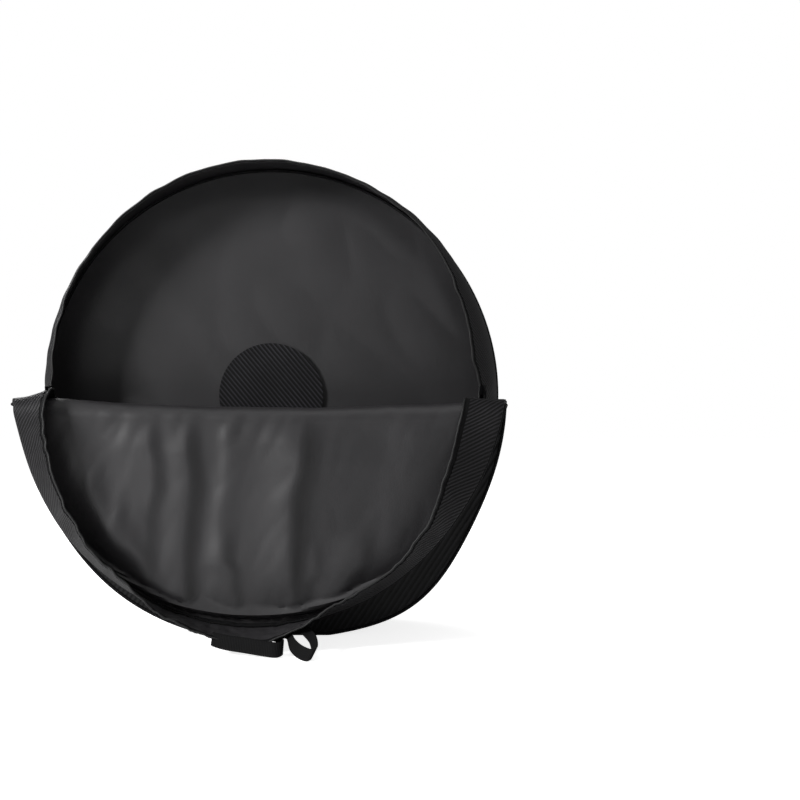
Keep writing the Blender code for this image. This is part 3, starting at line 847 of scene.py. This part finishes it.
def lower_strip(depth, material, name, thickness, node, slot):
    """One layer of the strip under the bag, from one end of the zip to the other."""

    def place(u, v):
        y = mix(-BODY_HALF_DEPTH, BODY_HALF_DEPTH, v)
        top = -mix(STRIP_END, SEAM_END, smooth((y + 0.022) / 0.016))
        angle = mix(top, -180 - top, u)
        a = math.radians(angle)
        r = RADIUS + fullness(angle) + 0.004 * math.sin(math.pi * v) - depth
        near = smooth((angle + 16) / 12) + smooth((-164 - angle) / 12)
        inset = 0.028 * near * smooth((BODY_HALF_DEPTH - y) / 0.09)
        inset *= 1 if y > -0.02 else smooth((y + BODY_HALF_DEPTH) / 0.05)
        ripples = 0.0022 * ripple(u * 6, v * 0.5, 51, 0.2) * math.sin(math.pi * v)
        x = (r + ripples) * math.cos(a)
        z = MIDDLE + (r + ripples) * math.sin(a)
        x -= math.copysign(inset, x)
        return Vector((x, y, max(z, 0.0008 + depth))), (angle * 0.00654, y)

    piece = made(laid(name, 200, 24, place, material, thickness), slot, "bag_body", node)


for kind, name, depth, material, slot, thickness in STRIP_LAYERS:
    lower_strip(depth, material, f"lower_strip_{name}", thickness, f"lower_gusset_{kind}", slot)

# upper strip of the body and its zip; the tape goes from just under the strip's free edge past it
TAPE_START, TAPE_EDGE, BODY_TAPE_DEPTH = 0.985, 1.11, 0.0014
for side, sign, start, end in (("right", 1, 0.0, 0.5), ("left", -1, 0.5, 1.0)):
    swing = (f"{side}_mouth", (sign * 0.30, 0.070, 0.66), (sign * 0.345, -0.008, 0.40))
    for kind, name, depth, material, slot, thickness in STRIP_LAYERS:
        piece = gusset_layer(f"upper_strip_{name}_{side}", start, end, 0, 1, depth, material, thickness)
        made(piece, slot, "bag_body", f"rear_gusset_{kind}", between=swing)
    zip_tape = (start, end, TAPE_START, TAPE_EDGE, BODY_TAPE_DEPTH, TAPE, TAPE_THICK)
    piece = gusset_layer(f"body_zip_tape_{side}", *zip_tape, rows=4)
    made(piece, "zip_nylon", "bag_body", "body_zip", between=swing)

    def tape_edge(u):
        return gusset_point(mix(start, end, u), TAPE_EDGE, BODY_TAPE_DEPTH)

    piece = tube(f"body_zip_coil_{side}", 540, tape_edge, COIL_RADIUS, COIL, sides=6, ridge=0.3)
    made(piece, "zip_nylon", "bag_body", "body_zip", between=swing)

# the flap's strip in lengths that turn as the flap shuts, by their angles
SPANS = {
    "right": {
        "end": (-STRIP_END, -0.6),
        "corner": (-0.6, 6.0),
        "side": (6.0, 72.0),
        "crown": (72.0, 90.0),
    },
    "left": {
        "end": (-STRIP_END, -0.6),
        "corner": (-0.6, 6.0),
        "side": (6.0, 66.0),
        "crown": (66.0, 90.0),
    },
}
for side, sign, crown_width in (("right", 1, 0.115), ("left", -1, 0.155)):
    right = side == "right"
    down = Vector((sign * 0.37936, 0, 0.92525))
    # the body that each length rides on, where it bends, and the strips and zips that it stands for
    joins = {
        "end": ("bag_body", LOWER_BEND, (f"{side}_corner",)),
        "corner": ("fold", (f"{side}_corner", (0, -0.080, 0.36), (0, -0.095, 0.36)), (f"{side}_corner",)),
        "side": ("flap", (f"{side}_side", down * 0.10, down * 0.44), (f"{side}_side", f"{side}_shoulder")),
        "crown": ("flap", ("crown", (sign * crown_width, 0, 0), (sign * 0.01, 0, 0)), ("crown",)),
    }
    for part, (start, end) in SPANS[side].items():
        seam = f"fold_edge_piping_{side}" if part in ("end", "corner") else f"flap_edge_piping_{side}"
        body, bend, stands_for = joins[part]
        zips = [f"{place}_zip" for place in stands_for]
        for kind, name, depth, material, slot, thickness in STRIP_LAYERS:
            nodes = [f"{place}_strip_{kind}" for place in stands_for]
            piece = strip_layer(f"{side}_{part}_strip_{name}", start, end, right, depth, material, thickness)
            made(piece, slot, body, *nodes, between=bend)
            cut_length(start, end, right)
        across = (STRIP_WIDTH - 0.001, STRIP_WIDTH + TAPE_WIDTH)
        name = f"{side}_{part}_zip_tape"
        piece = strip_layer(name, start, end, right, 0.0013, TAPE, TAPE_THICK, *across, rows=4)
        made(piece, "zip_nylon", body, *zips, between=bend)
        piece = strip_coil(f"{side}_{part}_zip_coil", start, end, right)
        made(piece, "zip_nylon", body, *zips, between=bend)
        if part != "end":
            across = (0.0085, 0.0175)
            name = f"{side}_{part}_seam_binding"
            piece = strip_layer(name, start, end, right, 0.0048, BINDING, 0.0014, *across, rows=4)
            made(piece, "woven_trim", body, between=bend)


def under_crown(x, across):
    """A point on the outer face of the strip's lowest length."""
    angle = math.degrees(math.acos(abs(x) / RADIUS))
    return tuple(strip_point(angle, across, -0.0022, x > 0))


# carry handle and hanging loop of webbing
handle = ribbon(
    "carry_handle_webbing",
    [
        under_crown(-0.022, 0.036),
        under_crown(-0.044, 0.040),
        (-0.0540, -0.2020, 0.0200),
        (-0.0520, -0.2100, 0.0200),
        (-0.0340, -0.2190, 0.0175),
        (-0.0050, -0.2270, 0.0150),
        (0.0220, -0.2345, 0.0122),
        (0.0400, -0.2390, 0.0110),
        (0.0480, -0.2320, 0.0120),
        (0.0460, -0.2140, 0.0130),
        under_crown(0.034, 0.042),
        under_crown(0.016, 0.038),
    ],
    0.024,
    0.0018,
    WEBBING,
    lambda u: (0, mix(0.9, 0.60, math.sin(math.pi * u)), mix(0.30, 0.80, math.sin(math.pi * u))),
)
swing = ("carry_handle", (0, -0.188, 0.024), (0, -0.206, 0.016))
made(handle, "woven_trim", "crown", "carry_handle", between=swing)
loop = ribbon(
    "hang_loop_webbing",
    [
        under_crown(0.040, 0.046),
        under_crown(0.052, 0.054),
        (0.0620, -0.2270, 0.0160),
        (0.0730, -0.2450, 0.0105),
        (0.0850, -0.2590, 0.0085),
        (0.0920, -0.2610, 0.0092),
        (0.0950, -0.2540, 0.0120),
        (0.0930, -0.2350, 0.0190),
        (0.0870, -0.2150, 0.0250),
        under_crown(0.073, 0.054),
        under_crown(0.064, 0.046),
    ],
    0.019,
    0.0016,
    WEBBING,
    lambda u: (
        0.42 * math.sin(math.pi * u),
        mix(0.9, 0.40, math.sin(math.pi * u)),
        mix(0.4, 0.80, math.sin(math.pi * u)),
    ),
)
swing = ("hang_loop", (0, -0.200, 0.022), (0, -0.222, 0.014))
made(loop, "woven_trim", "crown", "hang_loop", between=swing)

# the metal and the tabs keep their own shape
for name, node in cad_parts.items():
    if "slider" in name or "pull" in name:
        for spot in node.material_slots:
            spot.material = ZINC
    elif "end_tab" in name:
        for spot in node.material_slots:
            spot.material = WEBBING

# ---------------------------------------------------------------- studio
# white paper, a strong light from the front left, and weaker ones from the right, above and behind
scene = bpy.context.scene
scene.view_settings.view_transform = "Standard"

floor_material, tree = new_material("white_paper")
shade = add(tree, "ShaderNodeBsdfDiffuse", {"Color": (0.93, 0.93, 0.93, 1)})
seen = add(tree, "ShaderNodeLightPath")
PAPER_GLOW = 0.81  # what the camera sees on top of the lit paper
lit = add(tree, "ShaderNodeMath", {0: seen.outputs["Is Camera Ray"], 1: PAPER_GLOW}, operation="MULTIPLY")
glow = add(tree, "ShaderNodeEmission", {"Color": (1, 1, 1, 1), "Strength": lit.outputs[0]})
both = add(tree, "ShaderNodeAddShader", {0: shade.outputs[0], 1: glow.outputs[0]})
add(tree, "ShaderNodeOutputMaterial", {"Surface": both.outputs[0]})
bm = bmesh.new()
bmesh.ops.create_grid(bm, x_segments=1, y_segments=1, size=9)
mesh = bpy.data.meshes.new("paper_floor")
bm.to_mesh(mesh)
bm.free()
floor = bpy.data.objects.new("paper_floor", mesh)
mesh.materials.append(floor_material)
scene.collection.objects.link(floor)

world = bpy.data.worlds.new("studio")
scene.world = world
world.use_nodes = True
tree = world.node_tree
tree.nodes.clear()
ray = add(tree, "ShaderNodeLightPath")
SOFT_LIGHT = 0.21  # the world's share in the lighting; the camera sees it as white
seen = add(
    tree,
    "ShaderNodeMath",
    {0: ray.outputs["Is Camera Ray"], 1: 1 - SOFT_LIGHT, 2: SOFT_LIGHT},
    operation="MULTIPLY_ADD",
)
sky = add(tree, "ShaderNodeBackground", {"Color": (1, 1, 1, 1), "Strength": seen.outputs[0]})
add(tree, "ShaderNodeOutputWorld", {"Surface": sky.outputs[0]})

for name, place, aim, width, energy in (
    ("key", (-2.75, -1.75, 1.7), (0, -0.1, 0.3), 0.9, 140),
    ("fill", (2.4, -2.2, 1.2), (0, 0, 0.3), 1.8, 6),
    ("top", (0.2, -0.6, 3.0), (0, 0, 0), 2.0, 12),
    ("rear", (-1.4, 2.8, 1.9), (0, 0, 0.3), 1.6, 38),
):
    data = bpy.data.lights.new(name, "AREA")
    data.size, data.energy = width, energy
    lamp = bpy.data.objects.new(name, data)
    lamp.location = place
    lamp.rotation_euler = (Vector(aim) - Vector(place)).to_track_quat("-Z", "Y").to_euler()
    scene.collection.objects.link(lamp)

camera_data = bpy.data.cameras.new("camera")
camera_data.lens = 53.4
camera_data.sensor_width = 36
camera = bpy.data.objects.new("camera", camera_data)
camera.location = (0.2135, -1.9, 0.361)
camera.rotation_euler = (math.pi / 2, 0, 0)
scene.collection.objects.link(camera)
scene.camera = camera
